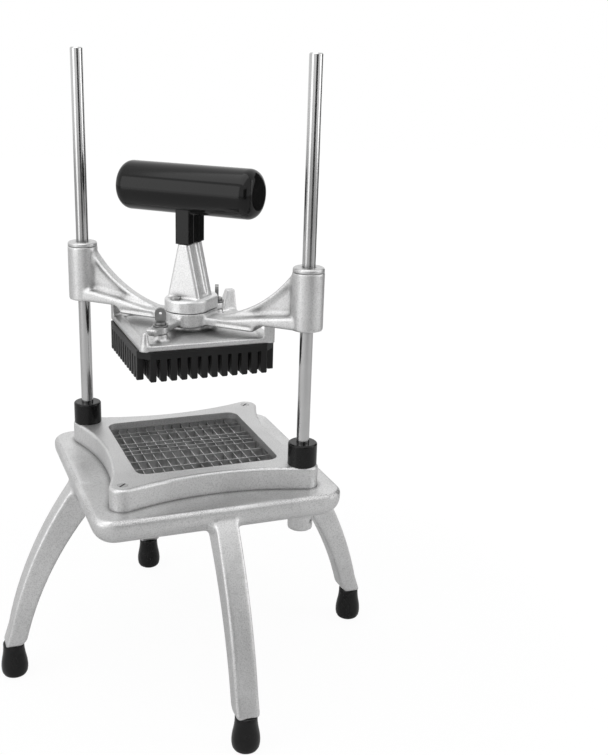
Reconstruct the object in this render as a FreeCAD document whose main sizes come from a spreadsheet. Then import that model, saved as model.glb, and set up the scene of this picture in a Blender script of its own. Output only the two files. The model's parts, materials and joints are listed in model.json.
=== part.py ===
import FreeCAD, Part
import Sketcher
import math
import os
from FreeCAD import Placement, Rotation, Vector

# A french fry cutter. The origin is on the floor under the middle of the plate, X runs along the
# plate's front edge, Y to its back, Z up. The two guide rods stand in opposite corners, so the head
# lies on the plate's diagonal: "along" is the way from the left rod to the right one, and "across"
# is level and square to it, towards the back.

doc = FreeCAD.newDocument("FryCutter")
sheet = doc.addObject("Spreadsheet::Sheet", "Sizes")


class Size:
    """A length or an angle: its value now, and the formula that gives it from the sheet."""

    def __init__(self, value, formula):
        self.value = value
        self.formula = formula

    def joined(self, other, sign, value):
        return Size(value, "(%s %s %s)" % (self.formula, sign, other.formula))

    def __add__(self, other):
        other = as_size(other)
        return self.joined(other, "+", self.value + other.value)

    def __sub__(self, other):
        other = as_size(other)
        return self.joined(other, "-", self.value - other.value)

    def __mul__(self, other):
        other = as_size(other)
        return self.joined(other, "*", self.value * other.value)

    def __truediv__(self, other):
        other = as_size(other)
        return self.joined(other, "/", self.value / other.value)

    def __radd__(self, other):
        return as_size(other) + self

    def __rsub__(self, other):
        return as_size(other) - self

    def __rmul__(self, other):
        return as_size(other) * self

    def __neg__(self):
        return as_size(0) - self

    def root(self):
        return Size(math.sqrt(self.value), "sqrt(%s)" % self.formula)


def as_size(item):
    return item if isinstance(item, Size) else Size(item, "(%r)" % item)


def sized(alias, value):
    """Writes one driving dimension into the sheet and gives it back as a Size."""
    sized.row += 1
    sheet.set("A%d" % sized.row, alias)
    sheet.set("B%d" % sized.row, str(value))
    sheet.setAlias("B%d" % sized.row, alias)
    return Size(value, "Sizes." + alias)


sized.row = 0

# Fits
running_gap = sized("running_gap", 0.05)
assembly_gap = sized("assembly_gap", 0.15)

# Plate
plate_width = sized("plate_width", 199)
plate_top = sized("plate_top", 174.5)
plate_depth = sized("plate_depth", 21.5)
plate_skin = sized("plate_skin", 6)
plate_corner = sized("plate_corner", 18)
plate_roll = sized("plate_roll", 15)
plate_shoulder = sized("plate_shoulder", 1.5)
land_inset = sized("land_inset", 2)
land_height = sized("land_height", 1.7)
skirt_width = sized("skirt_width", 17.5)
chute_width = sized("chute_width", 116)
chute_corner = sized("chute_corner", 9)
chute_wall = sized("chute_wall", 4)
badge_length = sized("badge_length", 43)
badge_width = sized("badge_width", 9)
badge_height = sized("badge_height", 0.6)
badge_inset = sized("badge_inset", 2.5)

# Legs and feet
foot_reach = sized("foot_reach", 152.2)
foot_height = sized("foot_height", 30)
foot_diameter = sized("foot_diameter", 22)
foot_neck = sized("foot_neck", 17.2)
foot_sole = sized("foot_sole", 9)
foot_belly_height = sized("foot_belly_height", 12.5)
foot_neck_height = sized("foot_neck_height", 23)
leg_width = sized("leg_width", 18.7)
leg_root_inset = sized("leg_root_inset", 20.9)
leg_top_inset = sized("leg_top_inset", 2.85)
leg_edge = sized("leg_edge", 1.2)
leg_outer_bow = sized("leg_outer_bow", 322)
leg_inner_bow = sized("leg_inner_bow", 276)
leg_root_drop = sized("leg_root_drop", 4)
leg_end_outside = sized("leg_end_outside", 7.3)
leg_end_inside = sized("leg_end_inside", 10.7)
leg_flare_height = sized("leg_flare_height", 15)
leg_flare = sized("leg_flare", 5)
leg_heel = sized("leg_heel", 4.5)
stud_diameter = sized("stud_diameter", 5)
stud_in_foot = sized("stud_in_foot", 18)
stud_in_leg = sized("stud_in_leg", 8)

# Guide rods
rod_diameter = sized("rod_diameter", 10)
rod_offset = sized("rod_offset", 71.5)
rod_top = sized("rod_top", 502)
rod_edge = sized("rod_edge", 0.8)
boss_diameter = sized("boss_diameter", 20.2)
boss_length = sized("boss_length", 16.5)
boss_floor = sized("boss_floor", 2)
set_screw_diameter = sized("set_screw_diameter", 4)
set_screw_length = sized("set_screw_length", 4.5)
set_screw_rise = sized("set_screw_rise", 7.5)
set_screw_socket = sized("set_screw_socket", 2)
bumper_diameter = sized("bumper_diameter", 23)
bumper_height = sized("bumper_height", 18)
bumper_edge = sized("bumper_edge", 1.5)

# Blade frame and blades
frame_height = sized("frame_height", 17.5)
frame_reach = sized("frame_reach", 83.5)
frame_corner = sized("frame_corner", 10)
frame_waist = sized("frame_waist", 70.5)
frame_edge = sized("frame_edge", 2.5)
frame_screw_offset = sized("frame_screw_offset", 73)
frame_screw_diameter = sized("frame_screw_diameter", 4)
frame_screw_head = sized("frame_screw_head", 7.5)
frame_screw_head_height = sized("frame_screw_head_height", 3)
frame_screw_depth = sized("frame_screw_depth", 10)
frame_screw_boss = sized("frame_screw_boss", 14)
carrier_wall = sized("carrier_wall", 8)
carrier_height = sized("carrier_height", 11.5)
carrier_floor = sized("carrier_floor", 1)
blade_thickness = sized("blade_thickness", 0.5)
blade_pitch = sized("blade_pitch", 8)
blade_end_wall = sized("blade_end_wall", 1.5)
blade_lap = sized("blade_lap", 4.3)
cross_blade_height = sized("cross_blade_height", 8.8)
long_blade_height = sized("long_blade_height", 9.6)
low_blade_height = sized("low_blade_height", 6.3)

# Head arm
head_height = sized("head_height", 301.5)
sleeve_diameter = sized("sleeve_diameter", 24.5)
sleeve_height = sized("sleeve_height", 44.7)
bush_flange_diameter = sized("bush_flange_diameter", 24)
bush_flange_height = sized("bush_flange_height", 3.3)
bush_flange_edge = sized("bush_flange_edge", 1.6)
bush_diameter = sized("bush_diameter", 14)
bush_length = sized("bush_length", 20)
bar_width = sized("bar_width", 21)
bar_depth = sized("bar_depth", 6)
bar_rise = sized("bar_rise", 1)
bar_shoulder_rise = sized("bar_shoulder_rise", 5.5)
bar_sleeve_rise = sized("bar_sleeve_rise", 9.5)
bar_crest_start = sized("bar_crest_start", 35)
bar_edge = sized("bar_edge", 1.2)
keel_inset = sized("keel_inset", 41)
keel_run = sized("keel_run", 8)
keel_hollow = sized("keel_hollow", 7)
groove_start = sized("groove_start", 27)
groove_height = sized("groove_height", 3)
groove_depth = sized("groove_depth", 1.5)
groove_rise = sized("groove_rise", 2)
web_thickness = sized("web_thickness", 4)
web_sweep = sized("web_sweep", 102)
web_start = sized("web_start", 20)
web_rise = sized("web_rise", 41.5)
rim_thickness = sized("rim_thickness", 8)
rim_width = sized("rim_width", 3)
rim_lap = sized("rim_lap", 4)
hub_width = sized("hub_width", 36)
hub_corner = sized("hub_corner", 17)
hub_front = sized("hub_front", 21.5)
hub_back = sized("hub_back", 26)
hub_depth = sized("hub_depth", 7.5)
hub_rise = sized("hub_rise", 4)
ear_reach = sized("ear_reach", 46)
ear_width = sized("ear_width", 8)
ear_tip = sized("ear_tip", 13)
ear_depth = sized("ear_depth", 5.5)
ear_thickness = sized("ear_thickness", 5)
ear_boss_diameter = sized("ear_boss_diameter", 12)
ear_boss_extra = sized("ear_boss_extra", 0.5)

# Handle
disc_height = sized("disc_height", 10)
disc_edge = sized("disc_edge", 1.8)
post_height = sized("post_height", 43)
post_foot_width = sized("post_foot_width", 28.6)
post_top_width = sized("post_top_width", 9.4)
post_depth = sized("post_depth", 24)
post_channel_width = sized("post_channel_width", 9)
post_channel_depth = sized("post_channel_depth", 2)
post_bevel = sized("post_bevel", 1.6)
disc_screw_reach = sized("disc_screw_reach", 16.2)
disc_screw_shift = sized("disc_screw_shift", 4)
disc_screw_head = sized("disc_screw_head", 7.6)
disc_screw_head_height = sized("disc_screw_head_height", 1.8)
disc_screw_diameter = sized("disc_screw_diameter", 4)
disc_screw_length = sized("disc_screw_length", 17)
slot_width = sized("slot_width", 1.2)
slot_depth = sized("slot_depth", 0.9)
grip_diameter = sized("grip_diameter", 38)
grip_length = sized("grip_length", 118)
grip_edge = sized("grip_edge", 8.5)
grip_neck_width = sized("grip_neck_width", 11.5)
grip_neck_depth = sized("grip_neck_depth", 25)
grip_neck_height = sized("grip_neck_height", 22)
grip_neck_lap = sized("grip_neck_lap", 9.5)
grip_channel_depth = sized("grip_channel_depth", 1)
bolt_diameter = sized("bolt_diameter", 5)
bolt_head_diameter = sized("bolt_head_diameter", 9.5)
bolt_head_height = sized("bolt_head_height", 4)
insert_diameter = sized("insert_diameter", 8)
insert_length = sized("insert_length", 14)

# Pusher
pusher_plate_width = sized("pusher_plate_width", 106)
pusher_plate_corner = sized("pusher_plate_corner", 6)
pusher_rim_height = sized("pusher_rim_height", 4.5)
pusher_rim_width = sized("pusher_rim_width", 7.5)
pusher_dish_depth = sized("pusher_dish_depth", 1.2)
pusher_gap = sized("pusher_gap", 2.5)
pad_diameter = sized("pad_diameter", 33)
lug_width = sized("lug_width", 11)
nub_diameter = sized("nub_diameter", 8.5)
nub_top = sized("nub_top", 3.5)
horn_width = sized("horn_width", 14)
horn_top = sized("horn_top", 7)
horn_height = sized("horn_height", 15.5)
clamp_post_diameter = sized("clamp_post_diameter", 11)
block_width = sized("block_width", 109)
slab_thickness = sized("slab_thickness", 5.5)
slab_corner = sized("slab_corner", 8.5)
finger_length = sized("finger_length", 17.5)
finger_width = sized("finger_width", 5)
finger_bevel = sized("finger_bevel", 0.8)
block_screw_diameter = sized("block_screw_diameter", 3)
block_screw_head = sized("block_screw_head", 5.5)
block_screw_head_height = sized("block_screw_head_height", 2.2)
block_screw_depth = sized("block_screw_depth", 9)

# Wing screws
wing_shank_diameter = sized("wing_shank_diameter", 6)
wing_collar_diameter = sized("wing_collar_diameter", 9)
wing_collar_height = sized("wing_collar_height", 2)
wing_waist = sized("wing_waist", 6)
wing_width = sized("wing_width", 8.6)
wing_height = sized("wing_height", 11)
wing_thickness = sized("wing_thickness", 3)
wing_hole_diameter = sized("wing_hole_diameter", 2.4)
washer_diameter = sized("washer_diameter", 12)
washer_thickness = sized("washer_thickness", 1.2)

# Counts, turns and the blades' two tiers
BLADE_ROWS = range(-6, 7)
LOW_ROWS = (-6, -5, -3, -1, 4)
ALONG = -45
ACROSS = 45
FRONT_WING_TURN = -14
BACK_WING_TURN = 72
LEG_TURNS = {"right": 0, "back": 90, "left": 180, "front": 270}
BLOCK_SCREW_ROWS = ((-1.5, -0.5), (1.5, -0.5), (1.5, 0.5), (-1.5, 0.5))

doc.recompute()

# Places that several pieces share
plate_half = plate_width / 2
plate_bottom = plate_top - plate_depth
land_half = plate_half - land_inset
chute_half = chute_width / 2
boss_bottom = plate_bottom - boss_length
rod_reach = rod_offset * as_size(2).root()
frame_top = plate_top + frame_height
carrier_half = chute_half + carrier_wall
carrier_top = plate_top + carrier_height
blade_bottom = plate_top + carrier_floor
blade_end = carrier_half - blade_end_wall
sleeve_top = head_height + sleeve_height
hub_bottom = head_height - hub_depth
hub_top = head_height + hub_rise
ear_top = head_height - ear_depth + ear_thickness
ear_boss_top = ear_top + ear_boss_extra
ear_boss_bottom = head_height - ear_depth - ear_boss_extra
disc_top = hub_top + disc_height
post_top = disc_top + post_height
grip_centre = post_top + grip_neck_height + grip_diameter / 2
pusher_top = hub_bottom - pusher_gap
pusher_bottom = pusher_top - pusher_rim_height
dish_top = pusher_top - pusher_dish_depth
slab_bottom = pusher_bottom - slab_thickness
finger_bottom = slab_bottom - finger_length
wing_collar_bottom = ear_boss_top + washer_thickness
wing_bottom = wing_collar_bottom + wing_collar_height


def bind(item, **formulas):
    """Ties an object's properties to the sheet; a double underscore stands for a dot."""
    for name, size in formulas.items():
        item.setExpression(name.replace("__", "."), as_size(size).formula)


def place(item, x=0, y=0, z=0, turn=0, tilt=None):
    """Turns an object about Z, after tilting it if asked, and ties its place to the sheet."""
    rotation = Rotation(Vector(0, 0, 1), turn)
    if tilt:
        rotation = rotation * tilt
    item.Placement = Placement(Vector(0, 0, 0), rotation)
    bind(item, Placement__Base__x=x, Placement__Base__y=y, Placement__Base__z=z)
    return item


def diagonal(along, across=0):
    """The X and Y of a point that is given along and across the diagonal of the rods."""
    root = as_size(2).root()
    return (as_size(along) + across) / root, (as_size(across) - along) / root


def node(name, item):
    item.Label = name
    NODES.append(name)
    return item


NODES = []


# Plain solids

def rod(name, diameter, length, x=0, y=0, z=0, turn=0, tilt=None):
    item = doc.addObject("Part::Cylinder", name)
    bind(item, Radius=as_size(diameter) / 2, Height=length)
    return place(item, x, y, z, turn, tilt)


def cone(name, bottom, top, length, x=0, y=0, z=0):
    item = doc.addObject("Part::Cone", name)
    bind(item, Radius1=as_size(bottom) / 2, Radius2=as_size(top) / 2, Height=length)
    return place(item, x, y, z)


def block(name, length, width, height, x=0, y=0, z=0, turn=0):
    """A box whose foot is centred on x, y and whose underside is at z."""
    item = doc.addObject("Part::Box", name)
    bind(item, Length=length, Width=width, Height=height)
    cosine = round(math.cos(math.radians(turn)), 12)
    sine = round(math.sin(math.radians(turn)), 12)
    half_length = as_size(length) / 2
    half_width = as_size(width) / 2
    corner_x = x - half_length * cosine + half_width * sine
    corner_y = y - half_length * sine - half_width * cosine
    return place(item, corner_x, corner_y, z, turn)


def join(name, items):
    item = doc.addObject("Part::MultiFuse", name)
    item.Shapes = items
    item.Refine = True
    return item


def cut(name, base, tools):
    item = doc.addObject("Part::Cut", name)
    item.Base = base
    item.Tool = tools[0] if len(tools) == 1 else join(name + "_tools", tools)
    item.Refine = True
    return item


def group(name, items):
    item = doc.addObject("Part::Compound", name)
    item.Links = items
    return item


# Bodies with sketches

def new_body(name):
    return doc.addObject("PartDesign::Body", name)


def part_of_origin(body, role):
    return next(item for item in body.Origin.OriginFeatures if item.Role == role)


def bind_point(sketch, curve, end, x, y):
    """Ties one end of a curve to a place in the sketch."""
    for axis, kind, size in ((-2, "DistanceX", x), (-1, "DistanceY", y)):
        size = as_size(size)
        if size.formula == as_size(0).formula:
            sketch.addConstraint(Sketcher.Constraint("PointOnObject", curve, end, axis))
        else:
            tie = Sketcher.Constraint(kind, -1, 1, curve, end, size.value)
            sketch.setExpression("Constraints[%d]" % sketch.addConstraint(tie), size.formula)


def outline(body, name, plane, points, offset=0):
    """A closed outline. A point is (x, y), or (x, y, radius) where an arc leads to the next
    point; a plus radius turns left on the way, a minus radius turns right."""
    sketch = body.newObject("Sketcher::SketchObject", name)
    sketch.AttachmentSupport = [(part_of_origin(body, plane), "")]
    sketch.MapMode = "FlatFace"
    bind(sketch, AttachmentOffset__Base__z=offset)
    ends = []
    for number, point in enumerate(points):
        following = points[(number + 1) % len(points)]
        start = Vector(as_size(point[0]).value, as_size(point[1]).value, 0)
        stop = Vector(as_size(following[0]).value, as_size(following[1]).value, 0)
        if len(point) == 2:
            curve = sketch.addGeometry(Part.LineSegment(start, stop))
            ends.append((curve, 1, 2))
            continue
        radius = as_size(point[2])
        chord = stop - start
        reach = math.sqrt(radius.value ** 2 - (chord.Length / 2) ** 2)
        side = Vector(-chord.y, chord.x, 0).normalize() * math.copysign(reach, radius.value)
        middle = (start + stop) / 2 + side
        first, last = (start, stop) if radius.value > 0 else (stop, start)
        first_angle = math.atan2(first.y - middle.y, first.x - middle.x)
        last_angle = math.atan2(last.y - middle.y, last.x - middle.x)
        circle = Part.Circle(middle, Vector(0, 0, 1), abs(radius.value))
        curve = sketch.addGeometry(Part.ArcOfCircle(circle, first_angle, last_angle))
        ends.append((curve, 1, 2) if radius.value > 0 else (curve, 2, 1))
        tie = Sketcher.Constraint("Radius", curve, abs(radius.value))
        number_of_tie = sketch.addConstraint(tie)
        size = radius if radius.value > 0 else -radius
        sketch.setExpression("Constraints[%d]" % number_of_tie, size.formula)
    for number, (curve, start_end, stop_end) in enumerate(ends):
        next_curve, next_start, _ = ends[(number + 1) % len(ends)]
        sketch.addConstraint(
            Sketcher.Constraint("Coincident", curve, stop_end, next_curve, next_start))
        bind_point(sketch, curve, start_end, points[number][0], points[number][1])
    return sketch


def rounded_square(half, radius):
    """The points of a square with round corners, counter-clockwise from its front right."""
    flat = half - radius
    return [(half, -flat), (half, flat, radius), (flat, half), (-flat, half, radius),
            (-half, flat), (-half, -flat, radius), (-flat, -half), (flat, -half, radius)]


def pad(body, name, sketch, length, symmetric=False):
    item = body.newObject("PartDesign::Pad", name)
    item.Profile = sketch
    if symmetric:
        item.SideType = "Symmetric"
    bind(item, Length=length)
    return item


def pocket(body, name, sketch, depth, upward=False):
    item = body.newObject("PartDesign::Pocket", name)
    item.Profile = sketch
    item.Reversed = upward
    bind(item, Length=depth)
    return item


def dressed(body, kind, name, chosen):
    """A fillet or chamfer on the edges of the body's last feature that the test chooses."""
    doc.recompute()
    base = body.Tip
    edges = [number for number, edge in enumerate(base.Shape.Edges, 1) if chosen(edge)]
    item = body.newObject(kind, name)
    item.Base = (base, ["Edge%d" % number for number in edges])
    return item


def rounded(body, name, radius, chosen):
    bind(dressed(body, "PartDesign::Fillet", name, chosen), Radius=radius)


def bevelled(body, name, width, chosen):
    bind(dressed(body, "PartDesign::Chamfer", name, chosen), Size=width)


def turned(name, points, about="Z_Axis"):
    """A body of revolution from an outline in the XZ plane."""
    body = new_body(name)
    sketch = outline(body, name + "_outline", "XZ_Plane", points)
    item = body.newObject("PartDesign::Revolution", name + "_turn")
    item.Profile = sketch
    item.ReferenceAxis = (part_of_origin(body, about), [""])
    return body


def hub_slab(name, bottom, height):
    """The oval slab that the hub and the handle's disc share, its length across the diagonal."""
    body = new_body(name)
    half = hub_width / 2
    flat = half - hub_corner
    pad(body, name + "_pad",
        outline(body, name + "_plan", "XY_Plane", [
            (half, hub_corner - hub_front),
            (half, hub_back - hub_corner, hub_corner),
            (flat, hub_back),
            (-flat, hub_back, hub_corner),
            (-half, hub_back - hub_corner),
            (-half, hub_corner - hub_front, hub_corner),
            (-flat, -hub_front),
            (flat, -hub_front, hub_corner),
        ], bottom), height)
    return place(body, turn=ALONG)


def arc_from_level(spread, rise):
    """The radius of an arc that starts upright and gets spread away while it climbs rise."""
    return (spread * spread + rise * rise) / (2 * spread)


def reading(size):
    """A size as a plain number, read from the sheet."""
    return float(sheet.evalExpression(size.formula))


def level(edge, height, tolerance=0.001):
    return all(abs(vertex.Point.z - height) < tolerance for vertex in edge.Vertexes)


def on_flank(edge, width, tolerance=0.001):
    """Whether an edge lies in one of the two flat sides of a symmetric pad."""
    flank = width.value / 2
    first, last = edge.Vertexes[0].Point.y, edge.Vertexes[-1].Point.y
    return abs(first - last) < tolerance and abs(abs(first) - flank) < tolerance


# Base stand: the plate, four legs, the rod bosses and the chute in one casting

def plate():
    body = new_body("plate")
    pad(body, "plate_edge",
        outline(body, "plate_plan", "XY_Plane",
                rounded_square(plate_half, plate_corner), plate_bottom),
        plate_depth - land_height)
    rounded(body, "plate_roll_under", plate_roll,
            lambda side: level(side, plate_bottom.value))
    rounded(body, "plate_shoulders", plate_shoulder,
            lambda side: level(side, (plate_top - land_height).value))
    pad(body, "plate_land",
        outline(body, "land_plan", "XY_Plane",
                rounded_square(land_half, plate_corner - land_inset),
                plate_top - land_height - plate_shoulder),
        land_height + plate_shoulder)
    pocket(body, "plate_hollow",
           outline(body, "hollow_plan", "XY_Plane",
                   rounded_square(plate_half - skirt_width, plate_corner / 2), plate_bottom),
           plate_depth - plate_skin, upward=True)
    pad(body, "chute_walls",
        outline(body, "chute_wall_plan", "XY_Plane",
                rounded_square(chute_half + chute_wall, chute_corner + chute_wall),
                plate_bottom),
        plate_depth - plate_skin)
    pocket(body, "chute",
           outline(body, "chute_plan", "XY_Plane",
                   rounded_square(chute_half, chute_corner), plate_bottom),
           plate_depth, upward=True)
    return body


def leg(side, turn):
    """One curved leg, drawn in the XZ plane and turned to its side of the plate."""
    body = new_body("leg_" + side)
    root_x = plate_half - leg_root_inset
    root_top = plate_top - leg_root_drop
    end_outside = foot_reach + leg_end_outside
    end_inside = foot_reach - leg_end_inside
    profile = [
        (root_x, root_top),
        (root_x, plate_bottom, -leg_inner_bow),
        (end_inside, foot_height + leg_heel),
        (end_inside + leg_heel, foot_height),
        (end_outside, foot_height),
        (end_outside - leg_flare, foot_height + leg_flare_height, leg_outer_bow),
        (plate_half - leg_top_inset, root_top),
    ]
    sketch = outline(body, "leg_profile_" + side, "XZ_Plane", profile)
    pad(body, "leg_web_" + side, sketch, leg_width, symmetric=True)
    bevelled(body, "leg_edges_" + side, leg_edge,
             lambda edge: on_flank(edge, leg_width)
             and min(point.Z for point in edge.Vertexes) < plate_bottom.value - leg_heel.value)
    return place(body, turn=turn)


def base_stand():
    pieces = [plate()]
    holes = []
    for side, turn in LEG_TURNS.items():
        pieces.append(leg(side, turn))
        x = foot_reach * round(math.cos(math.radians(turn)))
        y = foot_reach * round(math.sin(math.radians(turn)))
        holes.append(rod("stud_hole_" + side, stud_diameter + 2 * running_gap,
                         stud_in_leg + running_gap, x, y, foot_height))
    for side, sign in (("left", -1), ("right", 1)):
        x = rod_offset * sign
        y = rod_offset * -sign
        pieces.append(rod("rod_boss_" + side, boss_diameter,
                          boss_length + plate_depth - plate_skin / 2, x, y, boss_bottom))
        holes.append(rod("rod_hole_" + side, rod_diameter + 2 * running_gap,
                         plate_top + land_height - boss_bottom, x, y,
                         boss_bottom + boss_floor))
        holes.append(rod("set_screw_hole_" + side, set_screw_diameter + 2 * running_gap,
                         boss_diameter, x, y, boss_bottom + set_screw_rise,
                         tilt=Rotation(Vector(0, 0, 1), Vector(sign, -sign, 0))))
        pieces.append(block("badge_" + side, badge_width, badge_length, badge_height + land_height,
                            (land_half - badge_inset - badge_width / 2) * sign, 0,
                            plate_top - land_height))
        x = frame_screw_offset * sign
        pieces.append(rod("frame_screw_boss_" + side, frame_screw_boss,
                          plate_depth - plate_skin / 2, x, x, plate_bottom))
        holes.append(rod("frame_screw_hole_" + side,
                         frame_screw_diameter + 2 * running_gap,
                         frame_screw_depth + land_height, x, x,
                         plate_top - frame_screw_depth))
    return node("base_stand", cut("base_stand_solid", join("base_casting", pieces), holes))


def feet():
    studs = []
    for side, turn in LEG_TURNS.items():
        x = foot_reach * round(math.cos(math.radians(turn)))
        y = foot_reach * round(math.sin(math.radians(turn)))
        bore = stud_diameter / 2 + running_gap
        sole = foot_sole / 2
        belly = foot_diameter / 2
        neck = foot_neck / 2
        bowl = arc_from_level(belly - sole, foot_belly_height)
        flare = arc_from_level(belly - neck, foot_neck_height - foot_belly_height)
        boot = turned("foot_boot_" + side, [
            (0, 0),
            (sole, 0, bowl),
            (belly, foot_belly_height, -flare),
            (neck, foot_neck_height),
            (neck, foot_height),
            (bore, foot_height),
            (bore, foot_height - stud_in_foot),
            (0, foot_height - stud_in_foot),
        ])
        node("foot_" + side, place(boot, x, y))
        studs.append(rod("stud_" + side, stud_diameter, stud_in_foot + stud_in_leg - running_gap,
                         x, y, foot_height - stud_in_foot + running_gap))
    node("foot_studs", group("foot_stud_set", studs))


def guide_rods():
    screws = []
    for side, sign in (("left", -1), ("right", 1)):
        x = rod_offset * sign
        y = rod_offset * -sign
        radius = rod_diameter / 2
        foot = boss_bottom + boss_floor
        bar = turned("rod_bar_" + side, [
            (0, foot),
            (radius - rod_edge, foot),
            (radius, foot + rod_edge),
            (radius, rod_top - rod_edge),
            (radius - rod_edge, rod_top),
            (0, rod_top),
        ])
        node("guide_rod_" + side, place(bar, x, y))
        outer = bumper_diameter / 2
        bore = radius + running_gap
        top = frame_top + bumper_height
        stop = turned("bumper_ring_" + side, [
            (bore, frame_top),
            (outer, frame_top),
            (outer, top - bumper_edge, bumper_edge),
            (outer - bumper_edge, top),
            (bore, top),
        ])
        node("bumper_" + side, place(stop, x, y))
        facing = Rotation(Vector(0, 0, 1), Vector(sign, -sign, 0))
        height = boss_bottom + set_screw_rise
        tip_x, tip_y = diagonal((rod_reach + radius + running_gap) * sign)
        end_x, end_y = diagonal((rod_reach + radius + set_screw_length / 2) * sign)
        plug = rod("set_screw_plug_" + side, set_screw_diameter, set_screw_length,
                   tip_x, tip_y, height, tilt=facing)
        socket = rod("set_screw_socket_" + side, set_screw_socket, set_screw_length,
                     end_x, end_y, height, tilt=facing)
        screws.append(cut("set_screw_" + side, plug, [socket]))
    node("rod_set_screws", group("set_screw_set", screws))


# Blade frame: four hollow sides between round corners, a square window, and a rebate below

def blade_frame():
    body = new_body("frame_casting")
    middle = frame_reach - frame_corner
    rise = frame_waist - middle
    bow = (middle * middle + rise * rise - frame_corner * frame_corner) \
        / (2 * (middle + frame_corner - frame_waist))
    share = frame_corner / (bow + frame_corner)
    near = middle - middle * share
    far = middle + (frame_waist + bow - middle) * share
    points = [
        (far, -near, -bow), (far, near, frame_corner),
        (near, far, -bow), (-near, far, frame_corner),
        (-far, near, -bow), (-far, -near, frame_corner),
        (-near, -far, -bow), (near, -far, frame_corner),
    ]
    pad(body, "frame_wall", outline(body, "frame_plan", "XY_Plane", points, plate_top),
        frame_height)
    rounded(body, "frame_top_edge", frame_edge, lambda side: level(side, frame_top.value))
    pocket(body, "window",
           outline(body, "window_plan", "XY_Plane",
                   rounded_square(chute_half, chute_corner), plate_top),
           frame_height, upward=True)
    pocket(body, "rebate",
           outline(body, "rebate_plan", "XY_Plane",
                   rounded_square(carrier_half + assembly_gap, chute_corner), plate_top),
           carrier_height + assembly_gap, upward=True)
    holes = []
    screws = []
    head_bottom = frame_top - frame_screw_head_height
    for side, sign in (("front", -1), ("back", 1)):
        x = rod_offset * sign
        holes.append(rod("frame_rod_hole_" + side, rod_diameter + 2 * assembly_gap,
                         frame_height, -x, x, plate_top))
        x = frame_screw_offset * sign
        holes.append(rod("frame_shank_hole_" + side, frame_screw_diameter + 2 * assembly_gap,
                         frame_height, x, x, plate_top))
        holes.append(rod("frame_head_hole_" + side, frame_screw_head + 2 * assembly_gap,
                         frame_screw_head_height, x, x, head_bottom))
        head = rod("frame_screw_head_" + side, frame_screw_head, frame_screw_head_height,
                   x, x, head_bottom)
        shank = rod("frame_screw_shank_" + side, frame_screw_diameter,
                    frame_top - plate_top + frame_screw_depth - assembly_gap
                    - frame_screw_head_height / 2,
                    x, x, plate_top - frame_screw_depth + assembly_gap)
        slot = block("frame_screw_slot_" + side, frame_screw_head * 2, slot_width, slot_depth,
                     x, x, frame_top - slot_depth, turn=ACROSS)
        screws.append(cut("frame_screw_" + side,
                          join("frame_screw_blank_" + side, [head, shank]), [slot]))
    node("blade_frame", cut("blade_frame_solid", body, holes))
    node("frame_screws", group("frame_screw_set", screws))


def box_solid(length, width, height, x, y, z):
    """A plain box centred on x, y with its underside at z."""
    return Part.makeBox(length, width, height, Vector(x - length / 2, y - width / 2, z))


def blades():
    """Two crossed sets of blades, halved into each other, with their ends in a slotted ring."""
    thickness = reading(blade_thickness)
    pitch = reading(blade_pitch)
    floor = reading(blade_bottom)
    lap = floor + reading(blade_lap)
    reach = 2 * reading(blade_end)
    gap = reading(assembly_gap)
    notch = thickness + 2 * gap
    turn = Rotation(Vector(0, 0, 1), 90)
    tall = reading(long_blade_height)
    long_blades = []
    cross_blades = []
    slots = []
    for row in BLADE_ROWS:
        place_of_row = row * pitch
        height = reading(low_blade_height) if row in LOW_ROWS else tall
        blade = box_solid(reach, thickness, height, 0, 0, floor)
        notches = [box_solid(notch, notch, lap + gap - floor, other * pitch, 0, floor)
                   for other in BLADE_ROWS]
        blade = blade.cut(Part.makeCompound(notches))
        blade.translate(Vector(0, place_of_row, 0))
        long_blades.append(blade)
        blade = box_solid(reach, thickness, reading(cross_blade_height), 0, 0, floor)
        notches = [box_solid(notch, notch, tall, other * pitch, 0, lap) for other in BLADE_ROWS]
        blade = blade.cut(Part.makeCompound(notches))
        blade.Placement = Placement(Vector(place_of_row, 0, 0), turn)
        cross_blades.append(blade)
        run = reach + 2 * gap
        slots.append(box_solid(run, notch, tall + gap, 0, place_of_row, floor))
        slots.append(box_solid(notch, run, tall + gap, place_of_row, 0, floor))
    for name, solids in (("blades_long", long_blades), ("blades_cross", cross_blades)):
        item = doc.addObject("Part::Feature", name + "_set")
        item.Shape = Part.makeCompound(solids)
        node(name, item)
    body = new_body("carrier_ring")
    pad(body, "carrier_walls",
        outline(body, "carrier_plan", "XY_Plane",
                rounded_square(carrier_half, chute_corner - assembly_gap), plate_top),
        carrier_height)
    pocket(body, "carrier_window",
           outline(body, "carrier_window_plan", "XY_Plane",
                   rounded_square(chute_half, chute_corner), plate_top),
           carrier_height, upward=True)
    slot_set = doc.addObject("Part::Feature", "carrier_slots")
    slot_set.Shape = slots[0].fuse(slots[1:])
    node("blade_carrier", cut("blade_carrier_solid", body, [slot_set]))


# Head arm: two mirrored arms with sleeves, a hub between them and two ears for the wing screws

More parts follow.
